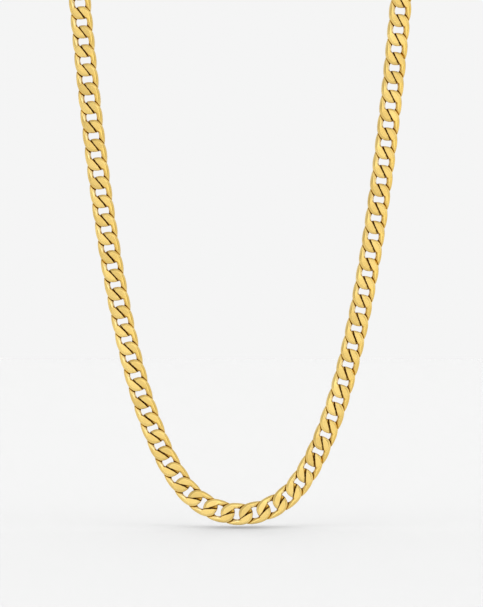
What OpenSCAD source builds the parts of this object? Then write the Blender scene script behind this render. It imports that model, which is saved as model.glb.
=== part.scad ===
// Curb chain necklace: flat oval links of twisted wire, each passed through the next, in a loop that hangs from
// the nape. X runs across the neck, Y to the back and Z up. The origin is the middle of the clasp's underside.

/* [Link] */
// Width of the chain over its links
link_w = 7.5; // [7.4:0.02:7.54]
// Length of one link over its ends
link_len = 10.82; // [10.78:0.02:10.9]
// Thickness of a link over its two flat faces
link_t = 2.88; // [2.8:0.02:2.96]
// Width of the wire along the sides of a link
side_wire = 2.14; // [2.0:0.02:2.16]
// Width of the wire round the ends of a link
end_wire = 1.93; // [1.8:0.01:1.94]
// Squareness of a link's outline, where 2 is an ellipse
squareness = 2.79; // [2.7:0.01:2.85]
// Angle between the chain's length and the seam where two neighbouring lobes meet
seam_angle = 31; // [30:0.5:32]
// Half of the crevice between two neighbouring lobes
seam_half = 0.12; // [0.11:0.01:0.13]
// Width of the soft bevel along a link's outer edge
bevel_w = 1.02; // [0.8:0.02:1.1]
// How far the bevel falls below the flat face
bevel_drop = 0.41; // [0.3:0.01:0.5]

/* [Chain] */
// Step from link to link at the slack bottom of the loop
slack_pitch = 6.17; // [6.12:0.01:6.2]
// How much longer the step is where the chain hangs taut
taut_gain = 0.335; // [0.3:0.005:0.34]
// Distance from the bottom at which the chain is taut
taut_len = 190; // [180:1:200]
// Links in the front of the right half
right_front_links = 31; // [31:1:31]
// Links in the front of the left half
left_front_links = 32; // [32:1:32]
// Links in the back of each half
back_links = 19; // [19:1:19]
// Distance from the bottom of the loop to the right half's first link
right_first = 4.93; // [4.9:0.01:4.96]
// Distance from the bottom of the loop to the left half's first link
left_first = 1.24; // [1.22:0.01:1.26]

/* [Path] */
// Radius of the loop at its bottom
bottom_r = 24.3; // [24.2:0.1:26]
// Length of that arc to each side of the bottom
bottom_len = 22.1; // [21.5:0.1:22.5]
// Sag of the two arms, the smaller the straighter
arm_sag = 17.4; // [17:0.1:18]
// Length of the front from the bottom to the start of a shoulder
front_len = 198; // [197:0.5:199]
// Radius of the bend over a shoulder
shoulder_r = 37.5; // [37:0.5:38]
// Angle that the chain turns backwards over a shoulder
shoulder_turn = 68; // [66:1:70]
// Radius of the turn towards the nape
nape_r = 47; // [46.5:0.1:47.2]

/* [Clasp] */
// Radius of a jump ring to the middle of its wire
ring_r = 3.5; // [3.48:0.01:3.55]
// Thickness of a jump ring's wire
ring_wire = 1.1; // [1.0:0.05:1.1]
// Length of the clasp
clasp_len = 13; // [12.8:0.1:13.2]
// Width of the clasp's claw
clasp_w = 6.4; // [6:0.1:6.8]
// Width of the clasp's eye
eye_w = 5.2; // [5:0.1:5.4]
// Thickness of the clasp
clasp_t = 2.2; // [2.0:0.1:2.2]
// Diameter of the hole in the clasp's eye
eye_hole = 2.6; // [2.5:0.1:2.8]
// Diameter of the opening in the clasp's claw
claw_hole = 3.6; // [3.4:0.1:3.8]

/* [Hidden] */
gold = [0.88, 0.69, 0.31];
$fn = 64;

// Half sizes of the oval that the middle of the wire follows
mid_w = (link_w - side_wire) / 2;
mid_l = (link_len - end_wire) / 2;
// Place of the seam's middle, half a taut step from the link's middle
seam_s = 3.23;
// How fast the lobe's edge leaves the seam towards the seam's ends
seam_bow = 0.03;
// Furthest that a lobe reaches inwards from the middle of the wire
lobe_reach = 1.9;
// Gap between a front lobe and the link's middle plane
layer_gap = 0.16;
// What the flat faces take off the lobes
face_trim = 0.24;
// The end of a link falls from the front to the back over this stretch, on the two sides of the seam
fall_high = 0.17;
fall_low = 0.54;
// Room left over the neighbour's falling end
fall_room = 0.07;
// Where the form of a link's end starts, and over what stretch it takes over from the side's
end_from = 1.7;
end_over = 0.68;
// Where the side of a link falls from the front to the back, over what stretch, and how slanted
side_mid = 0.68;
side_fall = 2.4;
side_slant = 0.2;
// Across the link, where the left side's height starts to pass to the right side's, and over what stretch
across_from = -0.34;
across_over = 1.02;
// Over what stretch from the middle the right side takes its own height near the seam
right_over = 1.19;
// Turn of the wire's widest level towards the face of a lobe, as a share of its height
lobe_lift = 0.32;
// Where the wire starts to widen into a lobe, over what stretch, and how far it stays narrow at the link's middle
lobe_from = 0.68;
lobe_over = 1.7;
lobe_mid = 0.54;
// How fast the wire turns from its edge-on sides to its flat lobes
twist_gain = 1.8;
// Turn below which a section has no front and no back lobe
least_twist = 0.01;
// Squareness of the wire's section, and what a lobe's face adds to it
section_square = 2.5;
face_square = 0.5;
// Roundness of the bevel, where 1 is straight
bevel_round = 1.5;
// Least thickness of a lobe's inner edge
edge_t = 0.2;
// Angles of the wire's sections round a quarter of the link, and of the corners of its six-sided section
near_angle = 27.5;
far_angle = 67;
corner_angle = 68;
STATIONS = [
    for (turn = [0, 180])
        for (angle = [0, near_angle, far_angle, 90, 180 - far_angle, 180 - near_angle])
            turn + angle
];
CORNERS = [0, corner_angle, 180 - corner_angle, 180, 180 + corner_angle, 360 - corner_angle];

// Smooth step from 0 to 1
function ease(t) = let (c = min(1, max(0, t))) c * c * (3 - 2 * c);

function signed_pow(v, e) = sign(v) * pow(abs(v), e);

// Distance of a point of the link's plan from the seam, and its place along the seam
function off_seam(x, s) = cos(seam_angle) * x + sin(seam_angle) * (s - seam_s);
function along_seam(x, s) = cos(seam_angle) * (s - seam_s) - sin(seam_angle) * x;
function seam_curve(x, s) = seam_bow * pow(along_seam(x, s), 2);

// Height between the back layer and the front layer at a share from 0 to 1
function layer_height(share) = share * (link_t / 2 + face_trim) - (1 - share) * layer_gap;

// Share of the full height beside the seam, at a distance on the link's own side of it
function end_share(distance) = ease((distance + fall_low) / (fall_high + fall_low));

// Height of the link's upper surface over a point of its plan; the lower half is the upper one turned round
function upper(x, s) =
    let (
        u = s < 0 ? -x : x,
        v = abs(s),
        end = end_share(off_seam(u, v) - seam_curve(u, v)) * ease((v - end_from) / end_over),
        left = ease(0.5 - (v + side_slant * (u + mid_w) - side_mid) / side_fall),
        right = ease(0.5 + (v + side_slant * (u - mid_w) + side_mid) / side_fall),
        across = ease((u - across_from) / across_over),
        side = left + (right - left) * across,
        share = u > 0 ? side * max(ease(u / right_over), end) : side
    )
    layer_height(max(share, end));

// Lowest level that a front lobe may reach over the neighbour's falling end
function lobe_floor(x, s) = layer_height(end_share(-off_seam(x, s) - seam_curve(x, s))) + fall_room;

// Inward reach of a lobe from the middle of the wire up to the seam
function seam_reach(c, n) =
    let (
        start = off_seam(c.x, c.y) - seam_half,
        slope = cos(seam_angle) * n.x + sin(seam_angle) * n.y,
        first = start / slope,
        bow = seam_curve(c.x - n.x * first, c.y - n.y * first)
    )
    min(lobe_reach, (start - bow) / slope);

// Middle of the wire in plan, and the outward direction there, at an angle round the link
function wire_mid(angle) =
    [mid_w * signed_pow(cos(angle), 2 / squareness), mid_l * signed_pow(sin(angle), 2 / squareness)];

function wire_out(angle) =
    let (
        c = wire_mid(angle),
        across = signed_pow(c.x / mid_w, squareness - 1) / mid_w,
        along = signed_pow(c.y / mid_l, squareness - 1) / mid_l
    )
    [across, along] / norm([across, along]);

// Corner of the wire's section at an angle round the link, in the link's own frame:
// x across the link, y along it, z towards the face
function wire_corner(angle, corner) =
    let (
        c = wire_mid(angle),
        n = wire_out(angle),
        end_part = pow(sin(angle), 2),
        outward = (side_wire + (end_wire - side_wire) * end_part) / 2,
        lobe = ease((abs(c.y) - lobe_from) / lobe_over) * ease(abs(c.x) / lobe_mid),
        reach = seam_reach([abs(c.x), abs(c.y)], [abs(n.x), abs(n.y)]),
        inward = outward + max(0, reach - outward) * lobe,
        twist = min(1, max(-1, twist_gain * sin(2 * angle))),
        facing = sin(corner) < 0 ? -twist : twist,
        fullness = 2 / (section_square + face_square * facing),
        out_part = signed_pow(cos(corner), fullness),
        up_part = pow(abs(sin(corner)), fullness),
        u = out_part * (out_part > 0 ? outward : inward),
        x = c.x + n.x * u,
        y = c.y + n.y * u,
        inner = u < 0 && abs(twist) > least_twist,
        floor_level = lobe_floor(x * sign(c.x), y * sign(c.y)),
        top_free = upper(x, y),
        bottom_free = -upper(-x, y),
        bottom_raised = inner && twist > 0 ? max(bottom_free, floor_level) : bottom_free,
        top_lowered = inner && twist < 0 ? min(top_free, -floor_level) : top_free,
        top = twist > 0 ? max(top_lowered, bottom_raised + edge_t) : top_lowered,
        bottom = twist < 0 ? min(bottom_raised, top - edge_t) : bottom_raised,
        widest = 0.5 + lobe_lift * twist,
        level = sin(corner) >= 0 ? widest + (1 - widest) * up_part : widest * (1 - up_part),
        bevel = min(1, max(0, (u - outward + bevel_w) / bevel_w)),
        limit = link_t / 2 - bevel_drop * pow(bevel, bevel_round)
    )
    [x, y, min(limit, max(-limit, bottom + (top - bottom) * level))];

LINK_POINTS = [for (angle = STATIONS) for (corner = CORNERS) wire_corner(angle, corner)];

// Triangles of one link's surface, from the first of its points
function link_faces(first) = [
    for (i = [0 : len(STATIONS) - 1])
        for (k = [0 : len(CORNERS) - 1])
            let (
                next_i = (i + 1) % len(STATIONS),
                next_k = (k + 1) % len(CORNERS),
                a = first + i * len(CORNERS) + k,
                b = first + i * len(CORNERS) + next_k,
                c = first + next_i * len(CORNERS) + k,
                d = first + next_i * len(CORNERS) + next_k
            )
            each [[a, b, d], [a, d, c]]
];

// The front hangs in an upright plane: an arc at the bottom, then two arms of a catenary.
// Distances run along the chain from the bottom of the loop.
arc_angle = bottom_len / bottom_r * 180 / PI;
sag_shift = arm_sag * tan(arc_angle) - bottom_len;
arc_x = bottom_r * sin(arc_angle);
arc_z = bottom_r * (1 - cos(arc_angle));

function heading(l) = l < bottom_len ? l / bottom_r * 180 / PI : atan((l + sag_shift) / arm_sag);

function arc_sinh(t) = ln(t + sqrt(t * t + 1));

function front_x(l) =
    l < bottom_len ? bottom_r * sin(heading(l))
                   : arc_x + arm_sag * (arc_sinh(tan(heading(l))) - arc_sinh(tan(arc_angle)));

function front_z(l) =
    l < bottom_len ? bottom_r * (1 - cos(heading(l)))
                   : arc_z + arm_sag * (1 / cos(heading(l)) - 1 / cos(arc_angle));

// Directions at the shoulder's start: along the chain, towards the viewer's back, and inwards
front_end = heading(front_len);
rising = [cos(front_end), 0, sin(front_end)];
backward = [0, 1, 0];
inward_dir = [-sin(front_end), 0, cos(front_end)];
shoulder_len = shoulder_r * shoulder_turn * PI / 180;
nape_len = nape_r * PI / 2;

// Direction along the chain after a turn over the shoulder, and direction that its face looks in
function over_shoulder(turn) = cos(turn) * rising + sin(turn) * backward;
function face_shoulder(turn) = sin(turn) * rising - cos(turn) * backward;

shoulder_start = [front_x(front_len), 0, front_z(front_len)];
shoulder_end = shoulder_start + shoulder_r * (sin(shoulder_turn) * rising + (1 - cos(shoulder_turn)) * backward);
nape_start = shoulder_end + nape_r * (over_shoulder(shoulder_turn) + inward_dir);

// Place, direction and face of the right half at a distance from the bottom
function place(l) =
    l <= front_len ? [front_x(l), 0, front_z(l)]
    : l <= front_len + shoulder_len
        ? let (turn = (l - front_len) / shoulder_r * 180 / PI)
          shoulder_start + shoulder_r * (sin(turn) * rising + (1 - cos(turn)) * backward)
    : l <= front_len + shoulder_len + nape_len
        ? let (turn = (l - front_len - shoulder_len) / nape_r * 180 / PI)
          shoulder_end + nape_r * (sin(turn) * over_shoulder(shoulder_turn) + (1 - cos(turn)) * inward_dir)
    : nape_start + (l - front_len - shoulder_len - nape_len) * inward_dir;

function direction(l) =
    l <= front_len ? [cos(heading(l)), 0, sin(heading(l))]
    : l <= front_len + shoulder_len ? over_shoulder((l - front_len) / shoulder_r * 180 / PI)
    : l <= front_len + shoulder_len + nape_len
        ? let (turn = (l - front_len - shoulder_len) / nape_r * 180 / PI)
          cos(turn) * over_shoulder(shoulder_turn) + sin(turn) * inward_dir
    : inward_dir;

function face(l) = face_shoulder(min(shoulder_turn, max(0, (l - front_len) / shoulder_r * 180 / PI)));

// The last link stands off the clasp's end, and a ring round both has its centre inside the link's end
end_room = 0.2;
ring_in = 1.35;
last_x = clasp_len / 2 + end_room + link_len / 2;
last_link = front_len + shoulder_len + nape_len + (nape_start.x - last_x) / sin(front_end);
nape_face = [0, -cos(shoulder_turn), sin(shoulder_turn)];
nape_mid = nape_start + nape_start.x / sin(front_end) * inward_dir;
origin_shift = nape_face * clasp_t / 2 - nape_mid;

// Distances of the front links, each a step from the one before
function front_steps(l, count) =
    count == 0 ? []
    : concat([l], front_steps(l + slack_pitch + taut_gain * min(1, l / taut_len), count - 1));

function half_steps(first, count) =
    let (
        front = front_steps(first, count),
        step = (last_link - front[count - 1]) / back_links
    )
    concat(front, [for (i = [1 : back_links]) front[count - 1] + i * step]);

// Points of the link at a distance from the bottom, on the side 1 to the right or -1 to the left
function placed_link(l, side) =
    let (
        flip = [side, 1, 1],
        p = place(l) + origin_shift,
        t = direction(l),
        n = face(l),
        place_p = [side * p.x, p.y, p.z],
        along = [side * t.x, t.y, t.z],
        outward = [side * n.x, n.y, n.z],
        across = cross(along, outward)
    )
    [for (q = LINK_POINTS) place_p + q.x * across + q.y * along + q.z * outward];

module chain_half(steps, side) {
    points_per_link = len(LINK_POINTS);
    polyhedron(
        points = [for (l = steps) each placed_link(l, side)],
        faces = [for (i = [0 : len(steps) - 1]) each link_faces(i * points_per_link)],
        convexity = 10
    );
}

module chain_left() {
    color(gold) chain_half(half_steps(left_first, left_front_links), -1);
}

module chain_right() {
    color(gold) chain_half(half_steps(right_first, right_front_links), 1);
}

// A ring stands across the last link's end and the clasp's end
ring_x = clasp_len / 2 + end_room + ring_in;

module jump_ring(side) {
    translate(nape_face * clasp_t / 2 + [side * ring_x, 0, 0])
        rotate([-shoulder_turn, 0, 0])
            rotate_extrude()
                translate([ring_r, 0]) circle(d = ring_wire);
}

module ring_left() {
    color(gold) jump_ring(-1);
}

module ring_right() {
    color(gold) jump_ring(1);
}

// Outline of the clasp: a round claw, a round eye and the waist between them
claw_x = clasp_len / 2 - clasp_w / 2;
eye_x = clasp_len / 2 - eye_w / 2;
wall_end = 1.05;
// Half width of the waist's two ends, as a share of the eye's and the claw's width
waist_share = 0.42;

module clasp_outline() {
    difference() {
        union() {
            translate([claw_x, 0]) circle(d = clasp_w);
            translate([-eye_x, 0]) circle(d = eye_w);
            polygon([
                [-eye_x, -eye_w * waist_share],
                [claw_x, -clasp_w * waist_share],
                [claw_x, clasp_w * waist_share],
                [-eye_x, eye_w * waist_share]
            ]);
        }
        translate([clasp_len / 2 - wall_end - claw_hole / 2, 0]) circle(d = claw_hole);
        translate([wall_end + eye_hole / 2 - clasp_len / 2, 0]) circle(d = eye_hole);
    }
}

module clasp() {
    color(gold)
        rotate([90 - shoulder_turn, 0, 0])
            linear_extrude(clasp_t) clasp_outline();
}

chain_left();
chain_right();
ring_left();
ring_right();
clasp();
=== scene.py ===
from math import cos, pi, radians, sin, tan

import bpy
import numpy as np
from mathutils import Matrix, Vector


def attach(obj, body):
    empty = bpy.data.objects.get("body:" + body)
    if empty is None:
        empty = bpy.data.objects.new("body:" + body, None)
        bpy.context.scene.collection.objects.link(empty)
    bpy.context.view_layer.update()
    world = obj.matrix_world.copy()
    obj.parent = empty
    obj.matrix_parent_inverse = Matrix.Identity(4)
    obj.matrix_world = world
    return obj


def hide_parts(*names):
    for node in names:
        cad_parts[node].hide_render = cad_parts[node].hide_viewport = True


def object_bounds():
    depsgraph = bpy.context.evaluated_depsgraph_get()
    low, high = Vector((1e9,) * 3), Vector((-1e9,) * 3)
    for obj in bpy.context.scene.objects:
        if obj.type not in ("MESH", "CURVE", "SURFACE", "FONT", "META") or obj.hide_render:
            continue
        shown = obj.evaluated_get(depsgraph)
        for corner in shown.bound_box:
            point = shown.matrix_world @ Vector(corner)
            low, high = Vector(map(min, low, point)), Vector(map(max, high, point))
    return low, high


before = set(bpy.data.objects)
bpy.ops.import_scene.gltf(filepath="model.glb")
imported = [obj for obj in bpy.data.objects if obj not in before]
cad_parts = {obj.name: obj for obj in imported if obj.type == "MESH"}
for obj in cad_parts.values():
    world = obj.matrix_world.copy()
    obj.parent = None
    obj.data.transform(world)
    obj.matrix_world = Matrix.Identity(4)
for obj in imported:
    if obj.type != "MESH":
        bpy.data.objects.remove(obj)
cad_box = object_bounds()

MM = 0.001

# The link's sizes in millimetres, as in the part's source. Its plan has x across the link and s along it.

LINK_W = 7.5
LINK_LEN = 11.0
LINK_T = 2.88
HALF_T = LINK_T / 2
SIDE_WIRE = 2.14
END_WIRE = 1.93
MID_W = (LINK_W - SIDE_WIRE) / 2
MID_LEN = (LINK_LEN - END_WIRE) / 2
SQUARENESS = 2.45
PITCH = 6.3
SEAM_ANGLE = radians(31)
SEAM_S = 3.23
SEAM_HALF = 0.12
SEAM_BOW = 0.03

# The hole's side, its bend into the seam, and the narrow shelf inside both

HOLE_HALF = 1.80
BEND_FROM = 0.2
BEND_IN = 0.06
BEND_MIDDLE = 0.95
BEND_END = 0.42
BEND_POINTS = 30
SEAM_LOW = -1.9
SEAM_POINTS = 80
SHELF = 0.26
SHELF_RUN = 0.7
SHELF_MIN_X = 0.01

# A lobe's section: how far in from the outline its points lie, its bevel, and its drop to the shelf

ROUND = 2.4
CORNER = 0.34
BEVEL_W = 0.85
BEVEL_DROP = 0.42
BEVEL_ROUND = 1.2
OUT_W = np.array([0, 0.05, 0.18, 0.45, BEVEL_W - 0.07, BEVEL_W, BEVEL_W + 0.05])
IN_W = np.array([0.30, 0.18, 0.05, 0.0])
IN_DROP = np.array([0, 0.008, 0.085, 0.40])
HIGH_LOBE = 0.5
SHELF_PARTS = np.array([0.12, 0.55, 1.0])
SHELF_STEPS = np.array([0.18, 0.12])
LOW = -0.02
BACK_STEP = 0.04

# A strand's section, in parts of its width, and the way it goes down under the next link's lobe

STRAND_PARTS = np.array([0, 0.015, 0.06, 0.16, 0.30, 0.385, 0.42, 0.55, 0.60, 0.70, 0.84, 0.945, 0.985, 1])
STRAND_ROUND = 3.2
STRAND_RISE = (1 - np.abs(2 * STRAND_PARTS - 1) ** STRAND_ROUND) ** (1 / STRAND_ROUND)
N_TOP = len(STRAND_PARTS)
OUTER_HALF = np.arange(N_TOP) < N_TOP / 2
GAP = 0.06
CORNER_GAP = 0.12
CORNER_PART = (0.45, 0.55)
SHOULDER = 0.36
SHOULDER_PART = (0, 0.5)
FACET = tan(radians(15))
FACET_FROM = 0.55
DIP = tan(radians(4))
DIP_LEN = 1.7
DIP_PART = (0.3, 0.4)
SOFT = 0.03

# The stations along a quarter of the link, by their distance from the next link's outline

SNAPS = [0.75, 0.42, 0.2, GAP, -0.12]
SNAP_PUSH = 0.3
SNAP_ROUNDS = 2
UNDER = -0.6
MIN_STEP = 0.08
BEFORE = 3
AFTER = 6
AFTER_GAP = 0.1
OPEN_LOBE = (1, 7)
COVERED_LOBE = (BEFORE + len(SNAPS) - 1, 3)

# The wall over the link's end: the plan distance past the seam and the height of each station

TIP_STEP = 0.012
SEAM_END_X = 6 * TIP_STEP
WALL = [0.15, 0.05, 0.0, -0.03]
WALL_Z = [HALF_T, HALF_T - 0.03, HALF_T - 0.14, LOW]

# How fine the plan curves are, and between what values their ends are looked for

OUT_POINTS = 200
EDGE_POINTS = 360
HALVINGS = 50
SEAM_RANGE = (-3.0, 3.0)
ANGLE_RANGE = (pi / 2, pi * 0.8)

# Painted shade: where the metal is painted dark as if in shade, in the seam, under the next link's lobe and
# on the walls of the hole

SEAM_SHADE = np.array([0, 0, 0, 0, 0, 0, 0, 0, 0.25, 0.65, 1, 1, 1, 1])
SHADE_REACH = 0.22
SHADE_POWER = 1.1
WALL_SHADE = 0.6
LEFT_LESS_SHADE = 0.3
DEEP_Z = (0.20, 0.45)
DEEP_SIDE = (5, 3)
DEEP_END = (3.2, 0.8)

# Where the metal is satin, painted with a highlight, or painted with shade on one side: first across the
# section by its point's number, then in the plan

FLAT_BAND = ((4, 2), (9.5, -1.5))
STRAND_HIGHLIGHT_BAND = ((7.5, 1.5), (13, -1))
SEAM_HIGHLIGHT_BAND = ((7, 1.5), (10, -1))
END_PART = (0.8, 1.6)
LOBE_PART = (1.2, 1.6)
UPPER_PART = (-1.5, 3)
LEFT_PART = (0.5, -1)
SEAM_HIGHLIGHT = 0.8
LOBE_LESS_SIDE_SHADE = 0.8

# What differs from link to link: the lean, the tone of each lobe, a painted light that makes flatter-lying
# links lighter, and the arms' roll outwards

TILT = radians(2.0)
LOW_TONE = (0, 1)
HIGH_TONE = (0.2, 0.9)
LYING_LIGHT = 0.4
ROLL = radians(7)
ROLL_X = 0.055

# The point numbers round a section, and the same counted from the outline's edge on both faces

RING = np.arange(2 * N_TOP - 2)
ACROSS = np.minimum(RING, 2 * (N_TOP - 1) - RING)
FLIP_X = np.array([-1, 1])


def ramp(value, start, length):
    """A smooth rise from 0 at start to 1 after length, the pairs above; a negative length makes it a fall."""
    t = np.clip((value - start) / length, 0, 1)
    return t * t * (3 - 2 * t)


def band(value, rise, fall):
    return ramp(value, *rise) * ramp(value, *fall)


def rounded(t):
    """A rise from 0 to 1 that starts steep and ends level."""
    return (1 - (1 - np.clip(t, 0, 1)) ** ROUND) ** (1 / ROUND)


def signed_pow(v, e):
    return np.sign(v) * np.abs(v) ** e


def crossing(before, low, high):
    """Where a test that holds at low stops holding on the way to high."""
    for _ in range(HALVINGS):
        middle = (low + high) / 2
        if before(middle):
            low = middle
        else:
            high = middle
    return low


def lengths(points):
    return np.concatenate([[0], np.cumsum(np.linalg.norm(np.diff(points, axis=0), axis=1))])


def at_lengths(points, run, wanted):
    return np.stack([np.interp(wanted, run, points[:, k]) for k in (0, 1)], 1)


# The plan curves that every link shares: its outline, and the hole's side that runs on along the seam

def outer(phi):
    """A point of the outline, half a wire outside the wire's squared middle line."""
    x = MID_W * signed_pow(cos(phi), 2 / SQUARENESS)
    s = MID_LEN * signed_pow(sin(phi), 2 / SQUARENESS)
    normal = np.array([
        signed_pow(x / MID_W, SQUARENESS - 1) / MID_W,
        signed_pow(s / MID_LEN, SQUARENESS - 1) / MID_LEN,
    ])
    half_wire = (SIDE_WIRE + (END_WIRE - SIDE_WIRE) * sin(phi) ** 2) / 2
    return np.array([x, s]) + normal / np.hypot(*normal) * half_wire


def past_seam(x, s):
    """How far a plan point lies beyond the seam's bowed middle line."""
    across = cos(SEAM_ANGLE) * x + sin(SEAM_ANGLE) * (s - SEAM_S)
    along = cos(SEAM_ANGLE) * (s - SEAM_S) - sin(SEAM_ANGLE) * x
    return across - SEAM_BOW * along ** 2


def seam_line(along):
    """The seam's nearer side in the plan."""
    across = SEAM_HALF + SEAM_BOW * along ** 2
    x = cos(SEAM_ANGLE) * across - sin(SEAM_ANGLE) * along
    s = SEAM_S + sin(SEAM_ANGLE) * across + cos(SEAM_ANGLE) * along
    return np.stack([x, s], -1)


def seam_at_x(x):
    """The distance along the seam at which its side comes to an x."""
    return crossing(lambda along: seam_line(np.array(along))[0] > x, *SEAM_RANGE)


def outline_angle(distance):
    """The outline's angle at a distance past the seam."""
    return crossing(lambda phi: past_seam(*outer(phi)) > distance, *ANGLE_RANGE)


def inner_curves():
    """The hole's side with the seam's, the same curve moved in to the shelf, and its run up to the seam."""
    direction = np.array([-sin(SEAM_ANGLE), cos(SEAM_ANGLE)])
    normal = np.array([cos(SEAM_ANGLE), sin(SEAM_ANGLE)])
    p0 = np.array([HOLE_HALF, BEND_FROM])
    p1 = np.array([HOLE_HALF - BEND_IN, BEND_MIDDLE])
    p3 = seam_line(np.array(SEAM_LOW))
    p2 = p3 - direction * BEND_END
    t = np.linspace(0, 1, BEND_POINTS)[:, None]
    bend = (1 - t) ** 3 * p0 + 3 * (1 - t) ** 2 * t * p1 + 3 * (1 - t) * t * t * p2 + t ** 3 * p3
    along = np.linspace(SEAM_LOW, seam_at_x(SEAM_END_X), SEAM_POINTS)
    wall = seam_line(along)
    shelf_w = SHELF * ramp(along, SEAM_LOW, SHELF_RUN)
    shelf = wall - shelf_w[:, None] * normal
    shelf[:, 0] = np.maximum(shelf[:, 0], SHELF_MIN_X)
    start = np.array([[HOLE_HALF, 0.0]])
    side = np.concatenate([start, bend, wall[1:]])
    shelf_side = np.concatenate([start, bend, shelf[1:]])
    return side, shelf_side, lengths(side)[len(bend)]


def closed_outline():
    """The whole outline in even steps, with its normals."""
    raw = np.array([outer(phi) for phi in np.linspace(0, 2 * pi, 4 * EDGE_POINTS + 1)])
    run = lengths(raw)
    points = at_lengths(raw, run, np.linspace(0, run[-1], EDGE_POINTS + 1)[:-1])
    step = np.roll(points, -1, 0) - np.roll(points, 1, 0)
    normals = np.stack([step[:, 1], -step[:, 0]], 1)
    return points, normals / np.linalg.norm(normals, axis=1)[:, None]


WALL_PHI = [outline_angle(SEAM_HALF + past) for past in WALL]
OUT_CURVE = np.array([outer(phi) for phi in np.linspace(0, pi - WALL_PHI[-1], OUT_POINTS)])
OUT_RUN = lengths(OUT_CURVE)
IN_CURVE, SHELF_CURVE, SEAM_RUN = inner_curves()
IN_RUN = lengths(IN_CURVE)
EDGE, EDGE_NORMAL = closed_outline()


# The stations along a quarter of the link

def cover(turn, shift):
    """How far a plan point of the link lies outside the next link's outline, and which way that grows."""
    def distance(points):
        moved = points @ turn.T + shift
        near = ((moved[:, None] - EDGE[None]) ** 2).sum(-1).argmin(1)
        away = ((moved - EDGE[near]) * EDGE_NORMAL[near]).sum(1)
        return away, EDGE_NORMAL[near] @ turn
    return distance


def snapped(curve, run, distance, last):
    """Places along a curve where it passes under the next link, one for each distance in SNAPS."""
    away = distance(curve)[0]
    stop = np.argmax(away < UNDER) if (away < UNDER).any() else len(away)
    found = np.interp(SNAPS, away[:stop][::-1], run[:stop][::-1])
    found = np.maximum(found, MIN_STEP * (np.arange(len(SNAPS)) + BEFORE))
    first = np.linspace(0, found[0], BEFORE + 1)[:-1]
    return np.concatenate([first, found, last(found[-1])])


def after_out(at):
    return np.linspace(at, OUT_RUN[-1], AFTER + 2)[1:-1]


def after_in(at):
    begin = max(at + AFTER_GAP, SEAM_RUN)
    return np.linspace(begin, IN_RUN[-1], AFTER + 1)[:-1]


# The sections, which have the same points in a lobe and in a strand

def bevel(w):
    """The highest that the face may be at a distance from the outline."""
    return HALF_T - BEVEL_DROP * np.clip(1 - w / BEVEL_W, 0, 1) ** BEVEL_ROUND


def shoulder(away, part=0.0):
    """How far the strand has come up at a distance from the lobe above it; part is 0 at the outer edge."""
    return rounded((away - GAP) / (SHOULDER * (1 + ramp(part, *SHOULDER_PART)) / 2))


def lobe_section(plan, z_edge, z_in, top):
    """A lobe's plan points and heights; plan holds the outline's, the hole side's and the shelf's point."""
    o, c, i = plan
    reach = np.hypot(*(c - o))
    w = np.concatenate([OUT_W, reach - IN_W])
    points = np.concatenate([o + (c - o) / reach * w[:, None], c + (i - c) * SHELF_PARTS[:, None]])
    z_out = np.minimum(z_edge + (top - z_edge) * rounded(OUT_W / CORNER), bevel(OUT_W))
    z_wall = top - IN_DROP * (top > HIGH_LOBE)
    z_shelf = np.minimum(top, LOW + SHELF_STEPS)
    return points, np.concatenate([z_out, z_wall, z_shelf, [z_in]])


def surface(plan, lobe, top, under, distance=None, snap=None):
    """One side of the link at one station: its plan points, their heights and how much painted shade they
    get.

    top and under are this side's and the other side's heights at the outer and the inner edge, and lobe
    goes from 0 in a strand to 1 in a lobe. On the side that the next link covers, distance is its cover
    function, and snap the distance from its outline that the station's points are pushed to.
    """
    o, _, i = plan
    width = np.hypot(*(i - o))
    w = width * STRAND_PARTS
    points = o + (i - o) / width * w[:, None]
    if distance is None:
        tops = np.full(N_TOP, top[0])
        # painted shade on the lobe's wall that goes down into the seam
        dark = SEAM_SHADE * lobe
    else:
        if snap is not None:
            for _ in range(SNAP_ROUNDS):
                away, grow = distance(points)
                push = np.clip(snap - away, -SNAP_PUSH, SNAP_PUSH)
                push[0] = push[-1] = 0
                points = points + push[:, None] * grow
        away = distance(points)[0] - CORNER_GAP * ramp(STRAND_PARTS, *CORNER_PART)
        rise = shoulder(away, STRAND_PARTS)
        facet = FACET * np.maximum(0, w - FACET_FROM * width)
        dip = DIP * np.clip(DIP_LEN - away, 0, DIP_LEN) * ramp(STRAND_PARTS, *DIP_PART)
        tops = LOW + (HALF_T - LOW - facet - dip) * rise
        # painted shade where the strand goes under the next link's lobe, stronger towards the hole
        dark = (1 - ramp(away, GAP, SHADE_REACH)) * STRAND_PARTS ** SHADE_POWER
    z_edge = (top[0] - under[0]) / 2
    z_in = (top[1] - under[1]) / 2
    base = np.where(OUTER_HALF, z_edge, z_in)
    z = base + (tops - base) * STRAND_RISE
    most = bevel(w)
    z = most - SOFT * np.logaddexp(0, (most - z) / SOFT)
    lobe_points, lobe_z = lobe_section(plan, z_edge, BACK_STEP * np.sign(z_in), tops[N_TOP // 2])
    return points + (lobe_points - points) * lobe, z + (lobe_z - z) * lobe, dark


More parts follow.
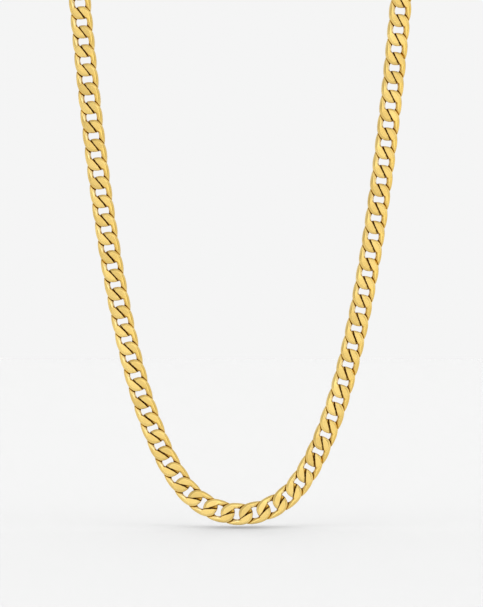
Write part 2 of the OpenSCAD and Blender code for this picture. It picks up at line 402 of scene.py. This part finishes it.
def quarter(distance, flip):
    """The stations of a quarter of the link, in that quarter's own plan, with both sides' sections."""
    def there(points):
        away, grow = distance(points * flip)
        return away, grow * flip
    runs_out = snapped(OUT_CURVE, OUT_RUN, there, after_out)
    runs_in = snapped(IN_CURVE, IN_RUN, there, after_in)
    outs = at_lengths(OUT_CURVE, OUT_RUN, runs_out)
    sides = at_lengths(IN_CURVE, IN_RUN, runs_in)
    shelves = at_lengths(SHELF_CURVE, IN_RUN, runs_in)
    high_out = LOW + (HALF_T - LOW) * shoulder(there(outs)[0])
    high_in = LOW + (HALF_T - LOW) * shoulder(there(shelves)[0], 1.0)
    full = (HALF_T, HALF_T)
    open_side, covered_side = [], []
    for k, plan in enumerate(zip(outs, sides, shelves)):
        high = (high_out[k], high_in[k])
        snap = SNAPS[k - BEFORE] if 0 <= k - BEFORE < len(SNAPS) else None
        open_side.append(surface(plan, ramp(k, *OPEN_LOBE), full, high))
        covered_side.append(surface(plan, ramp(k, *COVERED_LOBE), high, full, there, snap))
    return open_side, covered_side


def tip_stations():
    """The stations over the link's end, where the front lobe's wall drops to the strand below it."""
    n = len(WALL)
    tip_s = seam_line(np.array(seam_at_x(0.0)))[1]
    shelf_s = SEAM_S + (SEAM_HALF - SHELF) / sin(SEAM_ANGLE)
    climb = 1 / tan(SEAM_ANGLE)
    angles = [pi - phi for phi in WALL_PHI[::-1]] + [pi / 2] + WALL_PHI
    stations = []
    for j in range(-n, n + 1):
        x = -TIP_STEP * j
        side = np.array([x, tip_s - climb * x])
        shelf = np.array([2 * x, shelf_s + climb * abs(2 * x)])
        level = WALL_Z[j - 1] if j > 0 else HALF_T
        other = WALL_Z[-j - 1] if j < 0 else HALF_T
        step = level - other
        plan = (outer(angles[j + n]), side, shelf)
        points, z = lobe_section(plan, step / 2, BACK_STEP * np.sign(step), level)
        # painted shade on the seam's wall, over the whole section at the wall's foot
        stations.append((points, z, np.ones(N_TOP) if j == n else SEAM_SHADE))
    return stations


TIP = tip_stations()


# The whole link

def mirrored(stations):
    return [(points * FLIP_X, z, dark) for points, z, dark in stations]


def half_link(distance, turn):
    """Half of the link, from one strand's middle over its end to the other strand's middle."""
    right_open, right_covered = quarter(distance, np.array([turn, turn]))
    left_open, left_covered = quarter(distance, np.array([-turn, turn]))
    front = right_open + TIP + mirrored(left_covered[::-1])
    back = mirrored(right_covered) + TIP[::-1] + left_open[::-1]
    rings, darks = [], []
    for (points, z, dark), (back_points, back_z, back_dark) in zip(front[:-1], back[:-1]):
        up = np.column_stack([points, z])
        down = np.column_stack([back_points * FLIP_X, -back_z])[::-1]
        up[-1] = (up[-1] + down[0]) / 2
        up[0] = (up[0] + down[-1]) / 2
        rings.append(np.concatenate([up, down[1:-1]]))
        darks.append(np.concatenate([dark, back_dark[::-1][1:-1]]))
    rings, darks = np.array(rings), np.array(darks)
    x, s, z = np.moveaxis(rings, -1, 0)
    # painted shade on the sides away from the faces, on the hole's walls and near the link's ends, less on
    # the left half
    deep = 1 - ramp(np.abs(z) / HALF_T, *DEEP_Z)
    inside = np.maximum(ramp(ACROSS, *DEEP_SIDE), ramp(np.abs(s), *DEEP_END))
    darks = np.maximum(darks, (WALL_SHADE - LEFT_LESS_SHADE * (x < 0)) * deep * inside)
    rings[:, :, :2] *= turn
    return rings, darks


def link_rings(above, below):
    """A closed row of sections round the whole link, with the painted shade of each point."""
    first, dark = half_link(above, 1)
    second, dark_too = half_link(below, -1)
    return np.concatenate([first, second]), np.concatenate([dark, dark_too])


def ring_quads(n, k):
    """The faces between n closed sections of k points, the last of which meets the first."""
    j, i = np.meshgrid(np.arange(n), np.arange(k), indexing="ij")
    a = j * k + i
    b = j * k + (i + 1) % k
    c = ((j + 1) % n) * k + i
    d = ((j + 1) % n) * k + (i + 1) % k
    return np.stack([a, b, d, c], -1).reshape(-1, 4)


# The links' places, read from the frame's own solids: their rounding, and how far off the next link may be

POINT_DIGITS = 7
PLACE_DIGITS = 4
NEXT_MIN = 1
NEXT_MAX = 1.5 * PITCH


def solid_labels(count, ends):
    """One number for all the points that edges join into the same solid."""
    label = np.arange(count)
    while True:
        lowest = np.minimum(label[ends[:, 0]], label[ends[:, 1]])
        joined = label.copy()
        np.minimum.at(joined, ends[:, 0], lowest)
        np.minimum.at(joined, ends[:, 1], lowest)
        joined = joined[joined]
        if (joined == label).all():
            return label
        label = joined


def link_places(node):
    """Each link's centre, with its axes across, along and out of its face as columns."""
    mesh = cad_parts[node].data
    co = np.empty(len(mesh.vertices) * 3)
    mesh.vertices.foreach_get("co", co)
    points, same = np.unique(np.round(co.reshape(-1, 3), POINT_DIGITS), axis=0, return_inverse=True)
    ends = np.empty(len(mesh.edges) * 2, dtype=int)
    mesh.edges.foreach_get("vertices", ends)
    label = solid_labels(len(points), same.reshape(-1)[ends].reshape(-1, 2))
    places = []
    for mark in np.unique(label):
        part = points[label == mark]
        centre = part.mean(axis=0)
        _, axes = np.linalg.eigh(np.cov((part - centre).T))
        along, face = axes[:, 2], axes[:, 0]
        if along[2] < 0:
            along = -along
        if face[1] > 0:
            face = -face
        across = np.cross(along, face)
        places.append((centre, np.column_stack([across, along, face])))
    places.sort(key=lambda place: tuple(np.round(place[0], PLACE_DIGITS)))
    return places


PLACES = {node: link_places(node) for node in ("chain_left", "chain_right")}


def neighbours(centre, axes):
    """The next links towards the link's two ends, as cover functions."""
    found = [cover(np.eye(2), np.array([0, -PITCH])), cover(np.eye(2), np.array([0, PITCH]))]
    for other, other_axes in PLACES["chain_left"] + PLACES["chain_right"]:
        step = (other - centre) / MM
        if NEXT_MIN < np.linalg.norm(step) < NEXT_MAX:
            turn = (other_axes.T @ axes)[:2, :2]
            shift = -(other_axes.T @ step)[:2]
            found[0 if step @ axes[:, 1] > 0 else 1] = cover(turn, shift)
    return found


# The chain's two pieces, each with its name, the node that it stands for and its seed

CHAIN_PIECES = [("left_links", "chain_left", 11), ("right_links", "chain_right", 12)]


def placed(rings, centre, axes, rng):
    """The link's points in the frame, with its own small lean and the arm's roll, inside the CAD box."""
    low, high = np.array(cad_box[0]), np.array(cad_box[1])
    lean_x, lean_s = rng.uniform(-TILT, TILT, 2)
    lean = np.array(Matrix.Rotation(lean_x, 3, "X") @ Matrix.Rotation(lean_s, 3, "Y"))
    roll = ROLL * min(1, max(-1, centre[0] / ROLL_X)) * max(0, -axes[1, 2])
    turn = np.array(Matrix.Rotation(roll, 3, "Z"))
    shape = rings.reshape(-1, 3) * MM @ lean.T @ axes.T @ turn.T
    inwards = np.array([0, max(0, (low - centre - shape.min(axis=0))[1]), 0])
    return np.clip(shape + centre + inwards, low, high)


def link_marks(rings, darks, axes, rng):
    """What the material reads at each point: its painted shade in crevices, painted highlight, painted shade
    on one side, tone with painted light, and how satin it is.
    """
    x, s = rings[:, :, 0], rings[:, :, 1]
    upright = axes[2, 1] ** 2
    # painted light: the flatter a link lies, the lighter its gold is painted
    lying = LYING_LIGHT * (1 - abs(axes[2, 1]))
    low_tone_and_light = rng.uniform(*LOW_TONE) + lying
    high_tone_and_light = rng.uniform(*HIGH_TONE) + lying
    left = ramp(x, *LEFT_PART)
    lobe = ramp(np.abs(s), *LOBE_PART)
    # painted highlight along the left strand's inner edge and along the lobes' edge by the seam
    painted_highlight = left * band(ACROSS, *STRAND_HIGHLIGHT_BAND) * (1 - lobe) + SEAM_HIGHLIGHT * band(ACROSS, *SEAM_HIGHLIGHT_BAND) * lobe
    return {
        "crevice": darks,
        "painted_highlight": painted_highlight * (1 - darks),
        # painted shade on the right half of upright links, less on the lobes
        "side_shade": upright * (1 - left) * (1 - LOBE_LESS_SIDE_SHADE * lobe),
        "tone_and_light": low_tone_and_light + (high_tone_and_light - low_tone_and_light) * ramp(s, *UPPER_PART),
        "satin": band(ACROSS, *FLAT_BAND) * ramp(np.abs(s), *END_PART),
    }


def chain_piece(name, node, seed):
    rng = np.random.default_rng(seed)
    verts, faces, marks = [], [], []
    for count, (centre, axes) in enumerate(PLACES[node]):
        rings, darks = link_rings(*neighbours(centre, axes))
        verts.append(placed(rings, centre, axes, rng))
        faces.append(ring_quads(*rings.shape[:2]) + count * len(verts[-1]))
        marks.append(link_marks(rings, darks, axes, rng))
    mesh = bpy.data.meshes.new(name)
    mesh.from_pydata(np.concatenate(verts).tolist(), [], np.concatenate(faces).tolist())
    for label in marks[0]:
        values = np.concatenate([mark[label].reshape(-1) for mark in marks])
        mesh.attributes.new(label, "FLOAT", "POINT").data.foreach_set("value", values)
    mesh.update()
    mesh.polygons.foreach_set("use_smooth", [True] * len(mesh.polygons))
    piece = bpy.data.objects.new(name, mesh)
    bpy.context.scene.collection.objects.link(piece)
    piece.data.materials.append(link_gold)
    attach(piece, "root")
    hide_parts(node)
    return piece


# Materials: the tints of the gold, in linear light, the colours of its painted shade and painted highlight,
# and how rough its faces and edges are

TINTS = [(0.25, (0.77, 0.540, 0.165)), (0.75, (0.92, 0.678, 0.236))]
# a deeper gold for the painted shade on one side
SIDE_SHADE_GOLD = (0.83, 0.57, 0.155)
# a paler gold for the painted highlight
HIGHLIGHT_GOLD = (0.96, 0.78, 0.40)
# the painted shade's colours, from olive at its edge to dark brown, the shade at which its colour takes over,
# and the metal left at full shade
CREVICE_SHADE_COLOURS = [(0.0, (0.72, 0.48, 0.090)), (0.5, (0.42, 0.20, 0.013)), (1.0, (0.17, 0.055, 0.002))]
CREVICE_SHADE_FULL = 0.4
CREVICE_SHADE_METAL = 0.9
CLOUD_SCALE = 350
CLOUD_DETAIL = 2
TONE_SHARE = 0.6
POLISHED = 0.17
SATIN = 0.36
GRAIN_SCALE = 5000
GRAIN_DETAIL = 3
GRAIN_STRENGTH = 0.10
GRAIN_DEPTH = 0.01 * MM


def new_material(name):
    material = bpy.data.materials.new(name)
    material.use_nodes = True
    return material, material.node_tree, material.node_tree.nodes["Principled BSDF"]


def noise(tree, where, scale, detail):
    node = tree.nodes.new("ShaderNodeTexNoise")
    node.inputs["Scale"].default_value = scale
    node.inputs["Detail"].default_value = detail
    tree.links.new(where, node.inputs["Vector"])
    return node.outputs["Fac"]


def attribute(tree, label):
    node = tree.nodes.new("ShaderNodeAttribute")
    node.attribute_name = label
    return node.outputs["Fac"]


def mapped(tree, value, low, high):
    """A value from 0 to 1 mapped to lie from low to high."""
    node = tree.nodes.new("ShaderNodeMapRange")
    node.inputs["To Min"].default_value = low
    node.inputs["To Max"].default_value = high
    tree.links.new(value, node.inputs["Value"])
    return node.outputs["Result"]


def colour_ramp(tree, value, stops):
    """The colours at the stops' positions, picked by a value."""
    node = tree.nodes.new("ShaderNodeValToRGB")
    elements = node.color_ramp.elements
    elements[0].position = stops[0][0]
    elements[1].position = stops[-1][0]
    for position, _ in stops[1:-1]:
        elements.new(position)
    for element, (_, colour) in zip(elements, stops):
        element.color = (*colour, 1)
    tree.links.new(value, node.inputs["Fac"])
    return node.outputs["Color"]


def mixed(tree, share, first, second):
    """The first colour turned into the second by a share; the second is a plain colour or a socket."""
    node = tree.nodes.new("ShaderNodeMix")
    node.data_type = "RGBA"
    tree.links.new(share, node.inputs["Factor"])
    tree.links.new(first, node.inputs["A"])
    if isinstance(second, tuple):
        node.inputs["B"].default_value = (*second, 1)
    else:
        tree.links.new(second, node.inputs["B"])
    return node.outputs["Result"]


def link_colour(tree, cloud):
    """The colour by the link's marks: its tone with painted light, its painted shade on one side, its painted
    highlight, and the painted shade of its crevices.
    """
    both = tree.nodes.new("ShaderNodeMix")
    both.inputs["Factor"].default_value = TONE_SHARE
    tree.links.new(cloud, both.inputs["A"])
    tree.links.new(attribute(tree, "tone_and_light"), both.inputs["B"])
    colour = colour_ramp(tree, both.outputs["Result"], TINTS)
    colour = mixed(tree, attribute(tree, "side_shade"), colour, SIDE_SHADE_GOLD)
    colour = mixed(tree, attribute(tree, "painted_highlight"), colour, HIGHLIGHT_GOLD)
    crevice = attribute(tree, "crevice")
    share = tree.nodes.new("ShaderNodeMapRange")
    share.interpolation_type = "SMOOTHSTEP"
    share.inputs["From Max"].default_value = CREVICE_SHADE_FULL
    tree.links.new(crevice, share.inputs["Value"])
    return mixed(tree, share.outputs["Result"], colour, colour_ramp(tree, crevice, CREVICE_SHADE_COLOURS))


def gold(name, is_link):
    """Gold with cloudy tints and a fine grain; a link's is satin on its faces, with a painted highlight and
    painted shade in its crevices and on one side.
    """
    material, tree, shader = new_material(name)
    shader.inputs["Metallic"].default_value = 1.0
    where = tree.nodes.new("ShaderNodeTexCoord").outputs["Object"]
    cloud = noise(tree, where, CLOUD_SCALE, CLOUD_DETAIL)
    if is_link:
        # less metallic where shade is painted
        metal = mapped(tree, attribute(tree, "crevice"), 1.0, CREVICE_SHADE_METAL)
        tree.links.new(metal, shader.inputs["Metallic"])
        colour = link_colour(tree, cloud)
        satin = attribute(tree, "satin")
    else:
        colour = colour_ramp(tree, cloud, TINTS)
        satin = cloud
    tree.links.new(colour, shader.inputs["Base Color"])
    tree.links.new(mapped(tree, satin, POLISHED, SATIN), shader.inputs["Roughness"])
    bump = tree.nodes.new("ShaderNodeBump")
    bump.inputs["Strength"].default_value = GRAIN_STRENGTH
    bump.inputs["Distance"].default_value = GRAIN_DEPTH
    tree.links.new(noise(tree, where, GRAIN_SCALE, GRAIN_DETAIL), bump.inputs["Height"])
    tree.links.new(bump.outputs["Normal"], shader.inputs["Normal"])
    return material


link_gold = gold("link_gold", True)
plain_gold = gold("plain_gold", False)

PIECES = [chain_piece(*piece) for piece in CHAIN_PIECES]
for node in ("ring_left", "ring_right", "clasp"):
    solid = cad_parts[node]
    solid.data.materials.clear()
    solid.data.materials.append(plain_gold)
    PIECES.append(solid)

# The camera, level and straight in front of the hanging chain, in metres

FRONT_Y = -0.06765
CAMERA_AWAY = 1.5
CAMERA_X = 0.00037
CAMERA_Z = -0.1650
FRAME_W = 0.1639
SENSOR = 36
CLIP_END = 20

camera_data = bpy.data.cameras.new("camera")
camera_data.sensor_fit = "HORIZONTAL"
camera_data.sensor_width = SENSOR
camera_data.lens = SENSOR * CAMERA_AWAY / FRAME_W
camera_data.clip_end = CLIP_END
camera = bpy.data.objects.new("camera", camera_data)
camera.location = (CAMERA_X, FRONT_Y - CAMERA_AWAY, CAMERA_Z)
camera.rotation_euler = (pi / 2, 0, 0)
bpy.context.scene.collection.objects.link(camera)
bpy.context.scene.camera = camera

# The room of floor, backdrop and walls, in metres, and how much each glows

ROOM = 4.5
ROOM_TOP = 3.0
FLOOR_GAP = 0.0005
FLOOR_GLOW = 0.322
BACK_GLOW = 0.874
WALL_GLOW = 0.913
PAGE_ALBEDO = 0.05
FALL = 0.03
FALL_LEN = 0.16
FALL_FROM = FRONT_Y + 0.002
FALL_STEPS = 25
OVERLAP = 0.02
BACK_FACE = (3, 2, 6, 7)
OTHER_FACES = [(0, 3, 7, 4), (1, 0, 4, 5), (2, 1, 5, 6)]


def stage_piece(name, points, faces, emission, albedo):
    mesh = bpy.data.meshes.new(name)
    mesh.from_pydata(points, [], faces)
    piece = bpy.data.objects.new(name, mesh)
    bpy.context.scene.collection.objects.link(piece)
    material, _, shader = new_material(name)
    shader.inputs["Base Color"].default_value = (albedo, albedo, albedo, 1)
    shader.inputs["Roughness"].default_value = 1
    shader.inputs["Specular IOR Level"].default_value = 0
    shader.inputs["Emission Color"].default_value = (1, 1, 1, 1)
    shader.inputs["Emission Strength"].default_value = emission
    mesh.materials.append(material)
    return piece


def room_corners(z):
    return [(-ROOM, -ROOM, z), (ROOM, -ROOM, z), (ROOM, ROOM, z), (-ROOM, ROOM, z)]


def floor_mesh(z):
    """A level floor that falls a little in front of the chain, which turns its shadow towards the camera."""
    profile = [(ROOM, 0.0)]
    profile += [(FALL_FROM - FALL_LEN * t, -FALL * sin(pi / 2 * t)) for t in np.linspace(0, 1, FALL_STEPS)]
    profile.append((-ROOM, -FALL))
    points = [(x, y, z + up) for y, up in profile for x in (-ROOM - OVERLAP, ROOM + OVERLAP)]
    quads = [(2 * k + 2, 2 * k + 3, 2 * k + 1, 2 * k) for k in range(len(profile) - 1)]
    return points, quads


floor_z = cad_box[0][2] - FLOOR_GAP
floor = stage_piece("floor", *floor_mesh(floor_z), FLOOR_GLOW, PAGE_ALBEDO)
floor.data.polygons.foreach_set("use_smooth", [True] * len(floor.data.polygons))
room = room_corners(floor_z - 2 * FALL) + room_corners(ROOM_TOP)
backdrop = stage_piece("backdrop", room, [BACK_FACE], BACK_GLOW, PAGE_ALBEDO)
backdrop.visible_diffuse = False
walls = stage_piece("walls", room, OTHER_FACES, WALL_GLOW, 0.0)
walls.visible_glossy = False
walls.visible_diffuse = False
walls.visible_shadow = False

# The studio light: panels by azimuth, elevation, distance, width, height and radiance, and two soft suns

WORLD_GLOW = 0.66
PANELS = {
    "front": (4, 5, 2.0, 1.6, 2.6, 0.72),
    "left": (-75, 6, 1.6, 0.8, 1.6, 0.28),
    "right": (78, 6, 1.6, 1.3, 1.6, 0.42),
    "high": (44, 34, 1.6, 0.9, 0.3, 0.4),
    "top": (30, 56, 1.6, 1.6, 0.9, 0.16),
    "low": (0, -42, 1.2, 1.2, 0.8, 0.22),
}
SUNS = [(34, 0.10), (115, 0.46)]
SUN_TILT = radians(7.5)


def collected(name, members):
    """A collection that only says what a light reaches or what blocks it."""
    group = bpy.data.collections.new(name)
    for member in members:
        group.objects.link(member)
    return group


def panel(name, azimuth, elevation, away, width, height, radiance):
    """A panel seen from the chain at an azimuth to the right of the camera and an elevation, in degrees."""
    data = bpy.data.lights.new(name, "AREA")
    data.shape = "RECTANGLE"
    data.size = width
    data.size_y = height
    data.energy = radiance * pi * width * height
    light = bpy.data.objects.new(name, data)
    a, e = radians(azimuth), radians(elevation)
    place = Vector((sin(a) * cos(e), -cos(a) * cos(e), sin(e))) * away
    light.location = Vector((CAMERA_X, FRONT_Y, CAMERA_Z)) + place
    light.rotation_euler = (-place).to_track_quat("-Z", "Y").to_euler()
    bpy.context.scene.collection.objects.link(light)
    light.light_linking.receiver_collection = necklace
    return light


def soft_sun(spread, share):
    """A sun from nearly overhead that adds a share of the floor's brightness; its spread is in degrees."""
    data = bpy.data.lights.new("over", "SUN")
    data.angle = radians(spread)
    data.energy = share * pi / PAGE_ALBEDO / cos(SUN_TILT)
    light = bpy.data.objects.new("over", data)
    light.rotation_euler = (SUN_TILT, 0, 0)
    bpy.context.scene.collection.objects.link(light)
    light.light_linking.receiver_collection = page
    light.light_linking.blocker_collection = necklace


necklace = collected("necklace", PIECES)
page = collected("page", [floor])
panels = {name: panel(name, *place) for name, place in PANELS.items()}
panels["low"].light_linking.blocker_collection = necklace
for spread, share in SUNS:
    soft_sun(spread, share)

world = bpy.data.worlds.new("studio")
bpy.context.scene.world = world
world.use_nodes = True
world.node_tree.nodes["Background"].inputs["Color"].default_value = (1, 1, 1, 1)
world.node_tree.nodes["Background"].inputs["Strength"].default_value = WORLD_GLOW

bpy.context.scene.view_settings.view_transform = "Standard"
